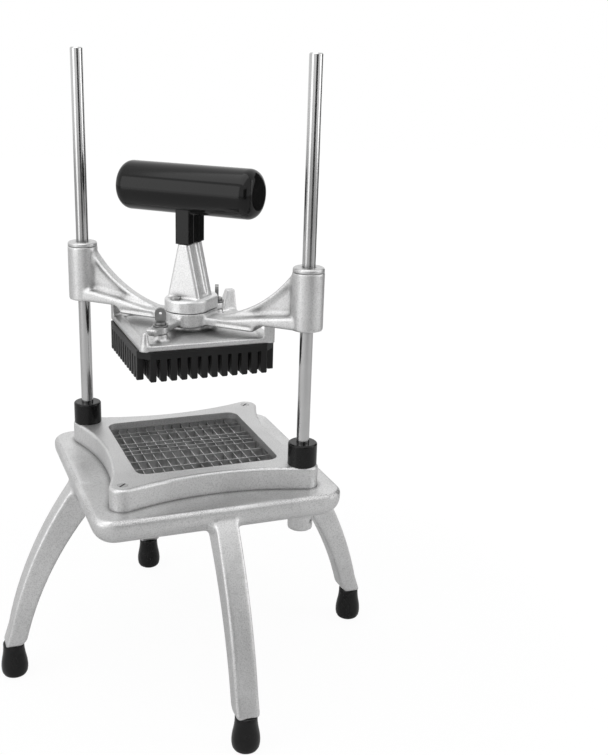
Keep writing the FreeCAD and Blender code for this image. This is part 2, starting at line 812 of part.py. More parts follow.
def arm(side, turn):
    """One arm, drawn in the XZ plane with the rod to the right and turned to its corner."""
    body = new_body("arm_" + side)
    sleeve_inside = rod_reach - sleeve_diameter / 2
    keel_end = rod_reach - keel_inset
    bar_bottom = head_height - bar_depth
    pad(body, "bar_" + side,
        outline(body, "bar_profile_" + side, "XZ_Plane", [
            (0, bar_bottom),
            (keel_end, bar_bottom, -keel_hollow),
            (keel_end + keel_run, head_height),
            (rod_reach, head_height),
            (rod_reach, head_height + bar_sleeve_rise),
            (sleeve_inside, head_height + bar_sleeve_rise),
            (keel_end, head_height + bar_shoulder_rise),
            (bar_crest_start, head_height + bar_rise),
            (0, head_height + bar_rise),
        ]), bar_width, symmetric=True)
    bevelled(body, "bar_edges_" + side, bar_edge, lambda edge: on_flank(edge, bar_width))
    start = (web_start, head_height + bar_rise)
    top = (sleeve_inside, head_height + web_rise)
    pad(body, "web_" + side,
        outline(body, "web_profile_" + side, "XZ_Plane", [
            (start[0], head_height),
            (rod_reach, head_height),
            (rod_reach, top[1]),
            (top[0], top[1], -web_sweep),
            start,
        ]), web_thickness, symmetric=True)
    pad(body, "rim_" + side,
        outline(body, "rim_profile_" + side, "XZ_Plane", [
            (start[0], start[1] - rim_width),
            (start[0] + rim_width / 2, start[1] - rim_width, web_sweep + rim_width),
            (top[0] + rim_lap, top[1]),
            (top[0], top[1], -web_sweep),
            start,
        ]), rim_thickness, symmetric=True)
    return place(body, turn=turn)


def head_arm():
    sleeves = []
    holes = []
    for side, turn, sign in (("right", ALONG, 1), ("left", ALONG + 180, -1)):
        x = rod_offset * sign
        y = rod_offset * -sign
        sleeves.append(arm(side, turn))
        sleeves.append(rod("sleeve_" + side, sleeve_diameter, sleeve_height, x, y, head_height))
        holes.append(rod("sleeve_bore_" + side, rod_diameter + 2 * assembly_gap,
                         sleeve_height, x, y, head_height))
        holes.append(rod("bush_seat_" + side, bush_diameter + 2 * running_gap,
                         bush_length, x, y, sleeve_top - bush_length))
        for face, way in (("front", -1), ("back", 1)):
            middle = (groove_start + rod_reach - keel_inset) / 2
            groove_x, groove_y = diagonal(middle * sign, bar_width / 2 * way)
            holes.append(block("groove_%s_%s" % (side, face),
                               rod_reach - keel_inset - groove_start, 2 * groove_depth,
                               groove_height, groove_x, groove_y,
                               head_height - bar_depth + groove_rise, turn=ALONG))
    ears = []
    for face, way, extra in (("front", -1, ear_tip), ("back", 1, ear_boss_diameter / 2)):
        x, y = diagonal(0, ear_reach * way)
        tip = ear_reach + extra
        ear_x, ear_y = diagonal(0, tip / 2 * way)
        ears.append(block("ear_" + face, ear_width, tip, ear_thickness, ear_x, ear_y,
                          head_height - ear_depth, turn=ALONG))
        ears.append(rod("ear_boss_" + face, ear_boss_diameter, ear_boss_top - ear_boss_bottom,
                        x, y, ear_boss_bottom))
        holes.append(rod("ear_hole_" + face, wing_shank_diameter + 2 * running_gap,
                         ear_boss_top - ear_boss_bottom, x, y, ear_boss_bottom))
        x, y = diagonal(disc_screw_shift * way, disc_screw_reach * way)
        holes.append(rod("hub_tapping_" + face, disc_screw_diameter + 2 * running_gap,
                         disc_screw_length - disc_height + running_gap, x, y,
                         disc_top - disc_screw_length - running_gap))
    hub = hub_slab("hub", hub_bottom, hub_rise + hub_depth)
    holes.append(rod("hub_bolt_hole", bolt_diameter + 2 * assembly_gap,
                     hub_rise + hub_depth, z=hub_bottom))
    holes.append(rod("hub_bolt_recess", bolt_head_diameter + 2 * assembly_gap,
                     bolt_head_height + assembly_gap, z=hub_bottom))
    node("head_arm", cut("head_arm_solid", join("head_casting", sleeves + ears + [hub]), holes))


def sleeve_bushes():
    for side, sign in (("left", -1), ("right", 1)):
        bore = rod_diameter / 2 + running_gap
        wall = bush_diameter / 2
        flange = bush_flange_diameter / 2
        top = sleeve_top + bush_flange_height
        ring = turned("bush_" + side, [
            (bore, sleeve_top - bush_length),
            (wall, sleeve_top - bush_length),
            (wall, sleeve_top),
            (flange, sleeve_top),
            (flange, top - bush_flange_edge, bush_flange_edge),
            (flange - bush_flange_edge, top),
            (bore, top),
        ])
        node("sleeve_bush_" + side, place(ring, rod_offset * sign, rod_offset * -sign))


# Handle: an oval disc with a tapering post, and a moulded grip bolted through it

def handle_pedestal():
    disc = hub_slab("pedestal_disc", hub_top, disc_height)
    rounded(disc, "disc_shoulder", disc_edge, lambda edge: level(edge, disc_top.value))
    body = new_body("pedestal_post")
    foot = post_foot_width / 2
    top = post_top_width / 2
    base = disc_top - disc_edge
    pad(body, "post_wedge",
        outline(body, "post_profile", "XZ_Plane", [
            (-foot, base),
            (foot, base),
            (foot, disc_top),
            (top, post_top),
            (-top, post_top),
            (-foot, disc_top),
        ]), post_depth, symmetric=True)
    bevelled(body, "post_corners", post_bevel,
             lambda edge: on_flank(edge, post_depth) and edge.Length > post_height.value)
    inner_foot = foot - post_channel_depth
    inner_top = top - post_channel_depth
    for side, sign in (("right", 1), ("left", -1)):
        channel = body.newObject("PartDesign::Pocket", "post_channel_" + side)
        corners = [
            (inner_foot * sign, disc_top + disc_edge),
            (foot * 2 * sign, disc_top + disc_edge),
            (foot * 2 * sign, post_top),
            (inner_top * sign, post_top),
        ]
        channel.Profile = outline(body, "channel_profile_" + side, "XZ_Plane", corners)
        channel.SideType = "Symmetric"
        bind(channel, Length=post_channel_width)
    place(body, turn=ALONG)
    holes = [rod("pedestal_bolt_hole", bolt_diameter + 2 * running_gap,
                 disc_height + post_height, z=hub_top)]
    screws = []
    for face, way in (("front", -1), ("back", 1)):
        x, y = diagonal(disc_screw_shift * way, disc_screw_reach * way)
        holes.append(rod("disc_hole_" + face, disc_screw_diameter + 2 * assembly_gap,
                         disc_height, x, y, hub_top))
        head = rod("disc_screw_head_" + face, disc_screw_head, disc_screw_head_height,
                   x, y, disc_top)
        shank = rod("disc_screw_shank_" + face, disc_screw_diameter,
                    disc_screw_length + disc_screw_head_height / 2, x, y,
                    disc_top - disc_screw_length)
        slot = block("disc_screw_slot_" + face, disc_screw_head * 2, slot_width, slot_depth,
                     x, y, disc_top + disc_screw_head_height - slot_depth)
        screws.append(cut("disc_screw_" + face,
                          join("disc_screw_blank_" + face, [head, shank]), [slot]))
    node("handle_pedestal", cut("pedestal_solid", join("pedestal_casting", [disc, body]), holes))
    node("pedestal_screws", group("pedestal_screw_set", screws))


def handle_grip():
    half = grip_length / 2
    radius = grip_diameter / 2
    barrel = turned("grip_barrel", [
        (-half, 0),
        (half, 0),
        (half, radius - grip_edge, grip_edge),
        (half - grip_edge, radius),
        (grip_edge - half, radius, grip_edge),
        (-half, radius - grip_edge),
    ], about="X_Axis")
    place(barrel, z=grip_centre, turn=ALONG)
    neck = block("grip_neck", grip_neck_width, grip_neck_depth,
                 grip_neck_height + grip_neck_lap, z=post_top, turn=ALONG)
    holes = []
    for side, sign in (("left", -1), ("right", 1)):
        x, y = diagonal(grip_neck_width / 2 * sign)
        holes.append(block("grip_channel_" + side, 2 * grip_channel_depth, post_channel_width,
                           grip_neck_height, x, y, post_top, turn=ALONG))
    seat = rod("insert_seat", insert_diameter + 2 * running_gap,
               insert_length + running_gap, z=post_top)
    tip = rod("bolt_end_room", bolt_diameter + 2 * running_gap,
              insert_length + bolt_diameter, z=post_top)
    node("handle_grip", cut("grip_solid", join("grip_moulding", [barrel, neck]),
                            holes + [seat, tip]))
    sleeve = rod("insert_blank", insert_diameter, insert_length, z=post_top + running_gap)
    thread = rod("insert_thread", bolt_diameter + 2 * running_gap, insert_length + 2 * running_gap,
                 z=post_top)
    node("handle_insert", cut("insert_sleeve", sleeve, [thread]))
    head = rod("bolt_head", bolt_head_diameter, bolt_head_height, z=hub_bottom + assembly_gap)
    shank = rod("bolt_shank", bolt_diameter,
                post_top + insert_length - hub_bottom - bolt_head_height,
                z=hub_bottom + bolt_head_height)
    node("handle_bolt", join("bolt", [head, shank]))


# Pusher: a dished backing plate with lugs, and a slab with square fingers below it

def horn():
    """A lug in the tray's back right corner whose two inner sides slope."""
    item = doc.addObject("Part::Wedge", "horn")
    corner = pusher_plate_width / 2
    bind(item, Xmin=0, Xmax=horn_width, X2min=horn_width - horn_top, X2max=horn_width,
         Ymin=0, Ymax=horn_height + pusher_rim_height,
         Zmin=0, Zmax=horn_width, Z2min=0, Z2max=horn_top)
    return place(item, corner - horn_width, corner, pusher_bottom,
                 tilt=Rotation(Vector(1, 0, 0), 90))


def pusher_plate():
    body = new_body("pusher_tray")
    pad(body, "tray_wall",
        outline(body, "tray_plan", "XY_Plane",
                rounded_square(pusher_plate_width / 2, pusher_plate_corner), pusher_bottom),
        pusher_rim_height)
    pocket(body, "tray_dish",
           outline(body, "dish_plan", "XY_Plane",
                   rounded_square(pusher_plate_width / 2 - pusher_rim_width,
                                  pusher_plate_corner), dish_top),
           pusher_dish_depth, upward=True)
    pieces = [body]
    pieces.append(rod("centre_pad", pad_diameter, hub_bottom - pusher_bottom, z=pusher_bottom))
    holes = []
    corner = pusher_plate_width / 2 - lug_width / 2
    keel_side = rod_reach - keel_inset + keel_run + assembly_gap
    for side, sign in (("left", -1), ("right", 1)):
        lug = block("lug_" + side, lug_width, lug_width, head_height - pusher_bottom,
                    corner * sign, corner * -sign, pusher_bottom)
        room_x, room_y = diagonal((keel_side - lug_width) * sign)
        room = block("lug_room_" + side, 2 * lug_width, 2 * lug_width,
                     head_height - pusher_top, room_x, room_y, pusher_top, turn=ALONG)
        pieces.append(cut("lug_cut_" + side, lug, [room]))
    nub_place = pusher_plate_width / 2 - nub_diameter / 2
    pieces.append(cone("nub", nub_diameter, nub_top, head_height - pusher_bottom,
                       -nub_place, -nub_place, pusher_bottom))
    pieces.append(horn())
    for face, way in (("front", -1), ("back", 1)):
        x, y = diagonal(0, ear_reach * way)
        pieces.append(rod("clamp_post_" + face, clamp_post_diameter,
                          ear_boss_bottom - pusher_bottom, x, y, pusher_bottom))
        holes.append(rod("clamp_tapping_" + face, wing_shank_diameter + 2 * running_gap,
                         ear_boss_bottom - dish_top, x, y, dish_top))
    screws = []
    block_holes = []
    for number, (row_x, row_y) in enumerate(BLOCK_SCREW_ROWS, 1):
        x = blade_pitch * row_x
        y = blade_pitch * row_y
        head_bottom = hub_bottom - assembly_gap - block_screw_head_height
        holes.append(rod("block_screw_recess_%d" % number, block_screw_head + 2 * assembly_gap,
                         block_screw_head_height + assembly_gap, x, y, head_bottom))
        holes.append(rod("block_screw_hole_%d" % number, block_screw_diameter + 2 * assembly_gap,
                         hub_bottom - pusher_bottom, x, y, pusher_bottom))
        head = rod("block_screw_head_%d" % number, block_screw_head, block_screw_head_height,
                   x, y, head_bottom)
        shank = rod("block_screw_shank_%d" % number, block_screw_diameter,
                    head_bottom + block_screw_head_height / 2 - pusher_bottom
                    + block_screw_depth - running_gap,
                    x, y, pusher_bottom - block_screw_depth + running_gap)
        screws.append(join("block_screw_%d" % number, [head, shank]))
        block_holes.append((reading(x), reading(y)))
    node("pusher_plate", cut("pusher_plate_solid", join("tray_casting", pieces), holes))
    node("block_screws", group("block_screw_set", screws))
    pusher_block(block_holes)


def pusher_block(screw_places):
    """The slab and its fingers: a solid block cut by crossed grooves that flare at the tips."""
    half = reading(block_width) / 2
    bevel = reading(slab_corner)
    bottom = reading(finger_bottom)
    shelf = reading(slab_bottom)
    plan = [(half, bevel - half), (half, half - bevel), (half - bevel, half),
            (bevel - half, half), (-half, half - bevel), (-half, bevel - half),
            (bevel - half, -half), (half - bevel, -half)]
    corners = [Vector(x, y, bottom) for x, y in plan]
    solid = Part.Face(Part.makePolygon(corners + corners[:1])).extrude(
        Vector(0, 0, reading(pusher_bottom) - bottom))
    pitch = reading(blade_pitch)
    gap = pitch - reading(finger_width)
    flare = reading(finger_bevel)
    length = 2 * reading(block_width)
    groove = [(-gap / 2, shelf), (-gap / 2, bottom + flare), (-gap / 2 - flare, bottom),
              (gap / 2 + flare, bottom), (gap / 2, bottom + flare), (gap / 2, shelf)]
    section = [Vector(-length / 2, y, z) for y, z in groove]
    tool = Part.Face(Part.makePolygon(section + section[:1])).extrude(Vector(length, 0, 0))
    tools = []
    for turn in (0, 90):
        rotation = Rotation(Vector(0, 0, 1), turn)
        for row in BLADE_ROWS:
            copy = tool.copy()
            copy.Placement = Placement(rotation.multVec(Vector(0, row * pitch, 0)), rotation)
            tools.append(copy)
    for way_x in (-1, 1):
        for way_y in (-1, 1):
            place_of_tool = half - pitch / 2 + reading(finger_width) / 2
            tools.append(box_solid(pitch + gap, pitch + gap, shelf - bottom,
                                   way_x * place_of_tool, way_y * place_of_tool, bottom))
    for x, y in screw_places:
        tools.append(Part.makeCylinder(
            reading(block_screw_diameter) / 2 + reading(running_gap), reading(block_screw_depth),
            Vector(x, y, reading(pusher_bottom) - reading(block_screw_depth))))
    item = doc.addObject("Part::Feature", "finger_block")
    item.Shape = solid.cut(tools)
    node("pusher_block", item)


def wing_screws():
    washers = []
    for face, way, turn in (("front", -1, FRONT_WING_TURN), ("back", 1, BACK_WING_TURN)):
        x, y = diagonal(0, ear_reach * way)
        collar = rod("wing_collar_" + face, wing_collar_diameter, wing_collar_height,
                     x, y, wing_collar_bottom)
        shank = rod("wing_shank_" + face, wing_shank_diameter,
                    wing_collar_bottom - dish_top - running_gap, x, y, dish_top + running_gap)
        radius = wing_width / 2
        body = new_body("wing_blade_" + face)
        top = wing_bottom + wing_height
        waist = wing_waist / 2
        sketch = outline(body, "wing_outline_" + face, "XZ_Plane", [
            (-waist, wing_bottom - wing_collar_height / 2),
            (waist, wing_bottom - wing_collar_height / 2),
            (waist, wing_bottom),
            (radius, wing_bottom + radius / 2),
            (radius, top - radius, radius),
            (0, top, radius),
            (-radius, top - radius),
            (-radius, wing_bottom + radius / 2),
            (-waist, wing_bottom),
        ])
        pad(body, "wing_plate_" + face, sketch, wing_thickness, symmetric=True)
        place(body, x, y, turn=turn)
        eye_x = x + wing_thickness * round(math.sin(math.radians(turn)), 12)
        eye_y = y - wing_thickness * round(math.cos(math.radians(turn)), 12)
        eye = rod("wing_eye_" + face, wing_hole_diameter, 2 * wing_thickness, eye_x, eye_y,
                  top - radius, turn=turn, tilt=Rotation(Vector(0, 0, 1), Vector(0, 1, 0)))
        screw = cut("wing_screw_solid_" + face,
                    join("wing_screw_blank_" + face, [collar, shank, body]), [eye])
        node("wing_screw_" + face, screw)
        ring = rod("washer_blank_" + face, washer_diameter, washer_thickness,
                   x, y, ear_boss_top)
        bore = rod("washer_bore_" + face, wing_shank_diameter + 2 * assembly_gap,
                   washer_thickness, x, y, ear_boss_top)
        washers.append(cut("washer_" + face, ring, [bore]))
    node("wing_washers", group("washer_set", washers))


base_stand()
feet()
guide_rods()
blade_frame()
blades()
head_arm()
sleeve_bushes()
handle_pedestal()
handle_grip()
pusher_plate()
wing_screws()

doc.recompute()
for item in doc.Objects:
    if "Invalid" in item.State or "Error" in item.State:
        raise RuntimeError("%s is in state %s" % (item.Label, item.State))

os.makedirs("parts", exist_ok=True)
for name in NODES:
    shape = doc.getObjectsByLabel(name)[0].Shape
    if shape.isNull() or not shape.isValid():
        raise RuntimeError("%s has no valid shape" % name)
    shape.exportStep("parts/%s.step" % name)
    print(name, len(shape.Solids), "solids", round(shape.Volume), "mm3")
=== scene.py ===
import json
import math

import bmesh
import bpy
from mathutils import Matrix, Vector


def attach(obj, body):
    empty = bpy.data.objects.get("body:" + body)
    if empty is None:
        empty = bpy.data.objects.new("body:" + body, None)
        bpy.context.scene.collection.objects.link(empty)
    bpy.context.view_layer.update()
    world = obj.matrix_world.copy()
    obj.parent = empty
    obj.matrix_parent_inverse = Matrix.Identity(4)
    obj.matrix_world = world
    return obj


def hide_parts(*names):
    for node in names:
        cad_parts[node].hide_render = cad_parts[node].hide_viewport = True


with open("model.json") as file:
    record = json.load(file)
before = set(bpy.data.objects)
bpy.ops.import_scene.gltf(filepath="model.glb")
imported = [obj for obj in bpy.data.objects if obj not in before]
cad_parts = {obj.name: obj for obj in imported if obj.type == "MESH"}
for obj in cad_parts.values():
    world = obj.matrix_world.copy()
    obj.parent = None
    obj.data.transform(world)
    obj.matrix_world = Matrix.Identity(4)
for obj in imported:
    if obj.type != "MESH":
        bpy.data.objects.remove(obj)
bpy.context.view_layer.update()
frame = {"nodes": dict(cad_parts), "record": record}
NODES = frame["nodes"]
MM = 0.001
EDGE_SAMPLES = 6
SHADE_SAMPLES = 8


# Shader expressions

class Value:
    """A socket of a node tree; arithmetic on it adds the tree's math nodes."""

    def __init__(self, shading, socket):
        self.shading = shading
        self.socket = socket

    def math(self, operation, first, second=0.0):
        return self.shading.node("Math", {"operation": operation}, {0: first, 1: second})

    def __add__(self, other):
        return self.math("ADD", self, other)

    def __mul__(self, other):
        return self.math("MULTIPLY", self, other)

    __radd__ = __add__

    def or_else(self, other):
        """The larger of the two values."""
        return self.math("MAXIMUM", self, other)

    def size(self):
        """The value without its sign."""
        return self.math("ABSOLUTE", self)

    def above(self, low, high):
        """0 below low, 1 above high, and smooth between them."""
        return self.shading.node("MapRange", {"interpolation_type": "SMOOTHSTEP"},
                                 {"Value": self, "From Min": low, "From Max": high})


class Shading:
    """The node tree of a material or of the world."""

    def __init__(self, owner):
        owner.use_nodes = True
        self.tree = owner.node_tree
        self.tree.nodes.clear()

    def node(self, kind, settings=None, inputs=None, output=0):
        made = self.tree.nodes.new("ShaderNode" + kind)
        for name, value in (settings or {}).items():
            setattr(made, name, value)
        for name, value in (inputs or {}).items():
            self.feed(made.inputs[name], value)
        return Value(self, made.outputs[output]) if made.outputs else None

    def feed(self, socket, value):
        if isinstance(value, Value):
            self.tree.links.new(value.socket, socket)
        else:
            socket.default_value = value


class Finish(Shading):
    """One material of the object, built round a single surface shader."""

    def __init__(self, name):
        self.material = bpy.data.materials.new(name)
        super().__init__(self.material)
        self.place = self.node("TexCoord", output="Object")

    def noise(self, size, detail=2.0, rough=0.5, stretch=(1, 1, 1)):
        """Noise between 0 and 1 whose spots are about size millimetres across."""
        place = self.place
        if stretch != (1, 1, 1):
            place = self.node("Mapping", {}, {"Vector": place, "Scale": stretch})
        return self.node("TexNoise", {}, {"Vector": place, "Scale": 1 / (size * MM),
                                          "Detail": detail, "Roughness": rough})

    def mix(self, share, first, second):
        made = self.tree.nodes.new("ShaderNodeMix")
        made.data_type = "RGBA"
        self.feed(made.inputs["Factor"], share)
        for socket, colour in ((made.inputs[6], first), (made.inputs[7], second)):
            self.feed(socket, colour if isinstance(colour, Value) else (*colour, 1))
        return Value(self, made.outputs[2])

    def edge(self, radius):
        """The normal of a surface whose edges and corners are rounded off."""
        return self.node("Bevel", {"samples": EDGE_SAMPLES}, {"Radius": radius * MM})

    def open_to_light(self, reach):
        """1 in the open, down to 0 in corners narrower than reach millimetres; the finishes
        paint shade where it is low.
        """
        return self.node("AmbientOcclusion", {"samples": SHADE_SAMPLES},
                         {"Distance": reach * MM}, output="AO")

    def bump(self, height, depth, normal=None):
        """Raises the surface by depth millimetres where height is 1."""
        inputs = {"Height": height, "Distance": depth * MM, "Strength": 1.0}
        if normal:
            inputs["Normal"] = normal
        return self.node("Bump", {}, inputs)

    def surface(self, **inputs):
        named = {name.replace("_", " "): value for name, value in inputs.items()}
        if not isinstance(named["Base Color"], Value):
            named["Base Color"] = (*named["Base Color"], 1)
        shader = self.node("BsdfPrincipled", {}, named)
        self.node("OutputMaterial", {}, {"Surface": shader})
        return self.material


def grey(level):
    return (level, level, level)


# Finishes

PLATE_HALF = 99.5
PLATE_TOP = 174.5


def plate_rim(finish):
    """1 in the rough band along the top edge of the plate, and 0 elsewhere."""
    x, y, z = [finish.node("SeparateXYZ", {}, {"Vector": finish.place}, output=axis)
               for axis in ("X", "Y", "Z")]
    outside = x.size().or_else(y.size()).above((PLATE_HALF - 4) * MM, (PLATE_HALF - 2.5) * MM)
    near_top = z.above((PLATE_TOP - 4) * MM, (PLATE_TOP - 2) * MM)
    return outside * near_top * finish.noise(30, detail=2).above(0.3, 0.6)


def cast_aluminium(name, shade_low=0.4, shade_high=0.88, light_lift=0.0, rim=False, metal=1.0):
    """Satin castings: fine grain, cloudy patches, and painted shade in the corners.

    The painted corner shade is full below the low limit and gone above the high limit, lift
    paints light by making every grey lighter, and rim adds the plate's rough band.
    """
    finish = Finish(name)
    grain = finish.noise(1, detail=3, rough=0.7)
    skin = finish.noise(5, detail=3, rough=0.6)
    cloud = finish.noise(38, detail=3)
    colour = finish.mix(cloud.above(0.3, 0.7), grey(0.64 + light_lift), grey(0.72 + light_lift))
    colour = finish.mix(grain.above(0.42, 0.7) * 0.6, colour, grey(0.4 + light_lift))
    # Painted shade: corners and hollows darken to grey 0.14, where less light reaches.
    colour = finish.mix(finish.open_to_light(8).above(shade_low, shade_high), grey(0.14), colour)
    rough = 0.29 + grain * 0.18 + skin * 0.08
    if rim:
        band = plate_rim(finish)
        speckle = finish.noise(0.8, detail=3, rough=0.7)
        colour = finish.mix(band * speckle.above(0.44, 0.62), colour, grey(0.34))
        rough = rough + band * 0.16
    normal = finish.bump(grain, 0.12, finish.bump(skin, 0.16, finish.edge(0.8)))
    return finish.surface(Base_Color=colour, Metallic=metal, Roughness=rough, Normal=normal)


def turned_aluminium():
    finish = Finish("turned_aluminium")
    grain = finish.noise(0.7, detail=2)
    colour = finish.mix(grain.above(0.4, 0.75), grey(0.62), grey(0.48))
    # Painted shade: corners darken to grey 0.2.
    colour = finish.mix(finish.open_to_light(3).above(0.3, 0.9), grey(0.2), colour)
    normal = finish.bump(grain, 0.04, finish.edge(1))
    return finish.surface(Base_Color=colour, Metallic=1.0, Roughness=0.32 + grain * 0.16,
                          Normal=normal)


def polished_steel():
    finish = Finish("polished_steel")
    draw = finish.noise(0.35, detail=2, stretch=(1, 1, 0.02))
    smear = finish.noise(22, detail=3)
    colour = finish.mix(smear, grey(0.5), grey(0.58))
    # Painted shade: corners darken to grey 0.2.
    colour = finish.mix(finish.open_to_light(4).above(0.4, 1), grey(0.2), colour)
    rough = 0.1 + draw * 0.05 + smear * 0.06
    normal = finish.bump(draw, 0.002, finish.edge(0.5))
    return finish.surface(Base_Color=colour, Metallic=1.0, Roughness=rough, Normal=normal)


def blade_steel():
    finish = Finish("blade_steel")
    scratch = finish.noise(0.6, detail=3, stretch=(0.2, 0.2, 1))
    smear = finish.noise(9, detail=3)
    colour = finish.mix(smear.above(0.3, 0.7), grey(0.42), grey(0.66))
    # Painted shade: corners and narrow gaps darken to grey 0.16.
    colour = finish.mix(finish.open_to_light(4).above(0.05, 0.7), grey(0.16), colour)
    return finish.surface(Base_Color=colour, Metallic=1.0, Roughness=0.3 + scratch * 0.2,
                          Normal=finish.bump(scratch, 0.01))


def plain_steel(name, dark, light):
    finish = Finish(name)
    scratch = finish.noise(0.8, detail=3)
    smear = finish.noise(5, detail=2)
    colour = finish.mix(smear, grey(dark), grey(light))
    # Painted shade: corners darken to grey 0.1.
    colour = finish.mix(finish.open_to_light(3).above(0.3, 0.9), grey(0.1), colour)
    normal = finish.bump(scratch, 0.01, finish.edge(0.35))
    return finish.surface(Base_Color=colour, Metallic=1.0, Roughness=0.26 + scratch * 0.16,
                          Normal=normal)


def insert_brass():
    finish = Finish("insert_brass")
    rings = finish.noise(0.5, detail=2, stretch=(0.05, 0.05, 1))
    colour = finish.mix(rings, (0.62, 0.46, 0.2), (0.75, 0.58, 0.28))
    return finish.surface(Base_Color=colour, Metallic=1.0, Roughness=0.25 + rings * 0.1)


def black_rubber(name, gloss):
    finish = Finish(name)
    skin = finish.noise(1.2, detail=3)
    dust = finish.noise(9, detail=4, rough=0.6)
    colour = finish.mix(dust.above(0.5, 0.8) * 0.5, grey(0.007), grey(0.014))
    normal = finish.bump(skin, 0.02, finish.edge(0.8))
    return finish.surface(Base_Color=colour, Roughness=gloss + dust * 0.14, Normal=normal,
                          Specular_IOR_Level=0.25)


def grip_plastic():
    finish = Finish("grip_plastic")
    flow = finish.noise(30, detail=2)
    skin = finish.noise(3, detail=2)
    colour = finish.mix(flow, grey(0.005), grey(0.009))
    normal = finish.bump(skin, 0.006, finish.edge(1))
    return finish.surface(Base_Color=colour, Roughness=0.09 + flow * 0.06, Normal=normal,
                          Specular_IOR_Level=0.25)


def block_plastic():
    finish = Finish("block_plastic")
    grain = finish.noise(0.7, detail=2)
    wear = finish.noise(12, detail=3)
    colour = finish.mix(wear, grey(0.008), grey(0.015))
    normal = finish.bump(grain, 0.015, finish.edge(0.4))
    return finish.surface(Base_Color=colour, Roughness=0.36 + wear * 0.14, Normal=normal,
                          Specular_IOR_Level=0.25)


FINISHES = {
    "cast_aluminium": cast_aluminium("cast_aluminium"),
    "turned_aluminium": turned_aluminium(),
    "polished_steel": polished_steel(),
    "blade_steel": blade_steel(),
    "plain_steel": plain_steel("plain_steel", 0.38, 0.54),
    "insert_brass": insert_brass(),
    "foot_rubber": black_rubber("foot_rubber", 0.16),
    "bumper_rubber": black_rubber("bumper_rubber", 0.14),
    "grip_plastic": grip_plastic(),
    "block_plastic": block_plastic(),
}


WING_STEEL = plain_steel("wing_steel", 0.2, 0.36)
# Copies of the casting finish that differ in painted light: the frame and arm get more painted
# corner shade, the tray less, and the pedestal's greys are lifted as painted light.
NODE_FINISHES = {
    "base_stand": cast_aluminium("stand_aluminium", rim=True),
    "blade_frame": cast_aluminium("frame_aluminium", 0.05, 0.6, metal=0.8),
    "head_arm": cast_aluminium("arm_aluminium", 0.5, 0.96),
    "handle_pedestal": cast_aluminium("pedestal_aluminium", light_lift=0.14),
    "pusher_plate": cast_aluminium("tray_aluminium", -0.6, 0.7),
    "wing_screw_front": WING_STEEL,
    "wing_screw_back": WING_STEEL,
    "wing_washers": WING_STEEL,
}


def finish_of(node, slot):
    return NODE_FINISHES.get(node, FINISHES[slot])


def finish_nodes():
    for part in frame["record"]["subparts"]:
        mesh = NODES[part["node"]].data
        mesh.materials.clear()
        mesh.materials.append(finish_of(part["node"], part["material_slot"]))


finish_nodes()


# Castings: each keeps its shape, and gets round fillets in its hollows and soft edges.
# Sizes are in millimetres, and a hole's size is its radius.

ROD_OFFSET = 71.5
ROD_HOLE = 5.05
ROD_HOLE_FLOOR = 138.5
SET_SCREW_HOLE = 2.05
SET_SCREW_HEIGHT = 144
FRAME_SCREW_OFFSET = 73
FRAME_SCREW_HOLE = 2.05
FRAME_SCREW_FLOOR = 164.5
OVER_PLATE = 180
FOOT_REACH = 152.2
STUD_HOLE = 2.55

HEAD_HEIGHT = 301.5
SLEEVE_TOP = 346.2
SLEEVE_BORE = 5.15
BUSH_BORE = 7.05
EAR_REACH = 46
EAR_HOLE = 3.05
HANDLE_BOLT_HOLE = 2.65
BOLT_HEAD_HOLE = 4.9
BOLT_HEAD_TOP = 298.1
PEDESTAL_SCREW_PLACE = (4, 16.2)
PEDESTAL_SCREW_HOLE = 2.05
PEDESTAL_SCREW_FLOOR = 298.4
WEB_HOLLOW = 1.7
WEB_HOLLOW_HEIGHT = 299
WEB_HOLLOW_OFFSET = 10.9
RIDGE = 1.5
RIDGE_SPREAD = 3.4
RIDGE_HEIGHT = 300.6
RIDGE_START = -50
RIDGE_END = -60
UNDER_HEAD = 280
OVER_HUB = 320

POST_BORE = 2.55
DISC_SCREW_HOLE = 2.15

TRAY_FLOOR = 290.4
TRAY_SCREW_PLACE = (12, 4)
TRAY_SCREW_HOLE = 1.65
TRAY_SCREW_HEAD = 2.9
TRAY_SCREW_HEAD_FLOOR = 291.6


def diagonal(along, across=0):
    """The X and Y of a point given along and across the diagonal of the rods."""
    return (along + across) / math.sqrt(2), (across - along) / math.sqrt(2)


def drill(cutter, radius, x, y, low, high):
    """Adds an upright drill to the cutter, in millimetres."""
    place = Matrix.Translation(Vector((x, y, (low + high) / 2)) * MM)
    bmesh.ops.create_cone(cutter, cap_ends=True, segments=48, radius1=radius * MM,
                          radius2=radius * MM, depth=(high - low) * MM, matrix=place)


def side_drill(cutter, radius, side, near, far, height):
    """Adds a level drill that points away from the middle along the rods' diagonal."""
    x, y = diagonal(side * (near + far) / 2)
    turn = Vector((1, -1, 0)).to_track_quat("Z", "Y").to_matrix().to_4x4()
    place = Matrix.Translation(Vector((x, y, height)) * MM) @ turn
    bmesh.ops.create_cone(cutter, cap_ends=True, segments=32, radius1=radius * MM,
                          radius2=radius * MM, depth=(far - near) * MM, matrix=place)


def round_bar(cutter, start, stop, radius):
    """Adds a straight bar with round ends between two points, in millimetres."""
    start = Vector(start) * MM
    stop = Vector(stop) * MM
    length = (stop - start).length
    turn = (stop - start).to_track_quat("X", "Z").to_matrix().to_4x4()
    place = Matrix.Translation((start + stop) / 2) @ turn
    made = bmesh.ops.create_icosphere(cutter, subdivisions=4, radius=radius * MM)
    for vertex in made["verts"]:
        shift = math.copysign(length / 2, vertex.co.x) if abs(vertex.co.x) > 1e-7 else 0
        vertex.co.x += shift
        vertex.co = place @ vertex.co


def made_object(name, shape):
    mesh = bpy.data.meshes.new(name)
    shape.to_mesh(mesh)
    shape.free()
    item = bpy.data.objects.new(name, mesh)
    bpy.context.scene.collection.objects.link(item)
    return item


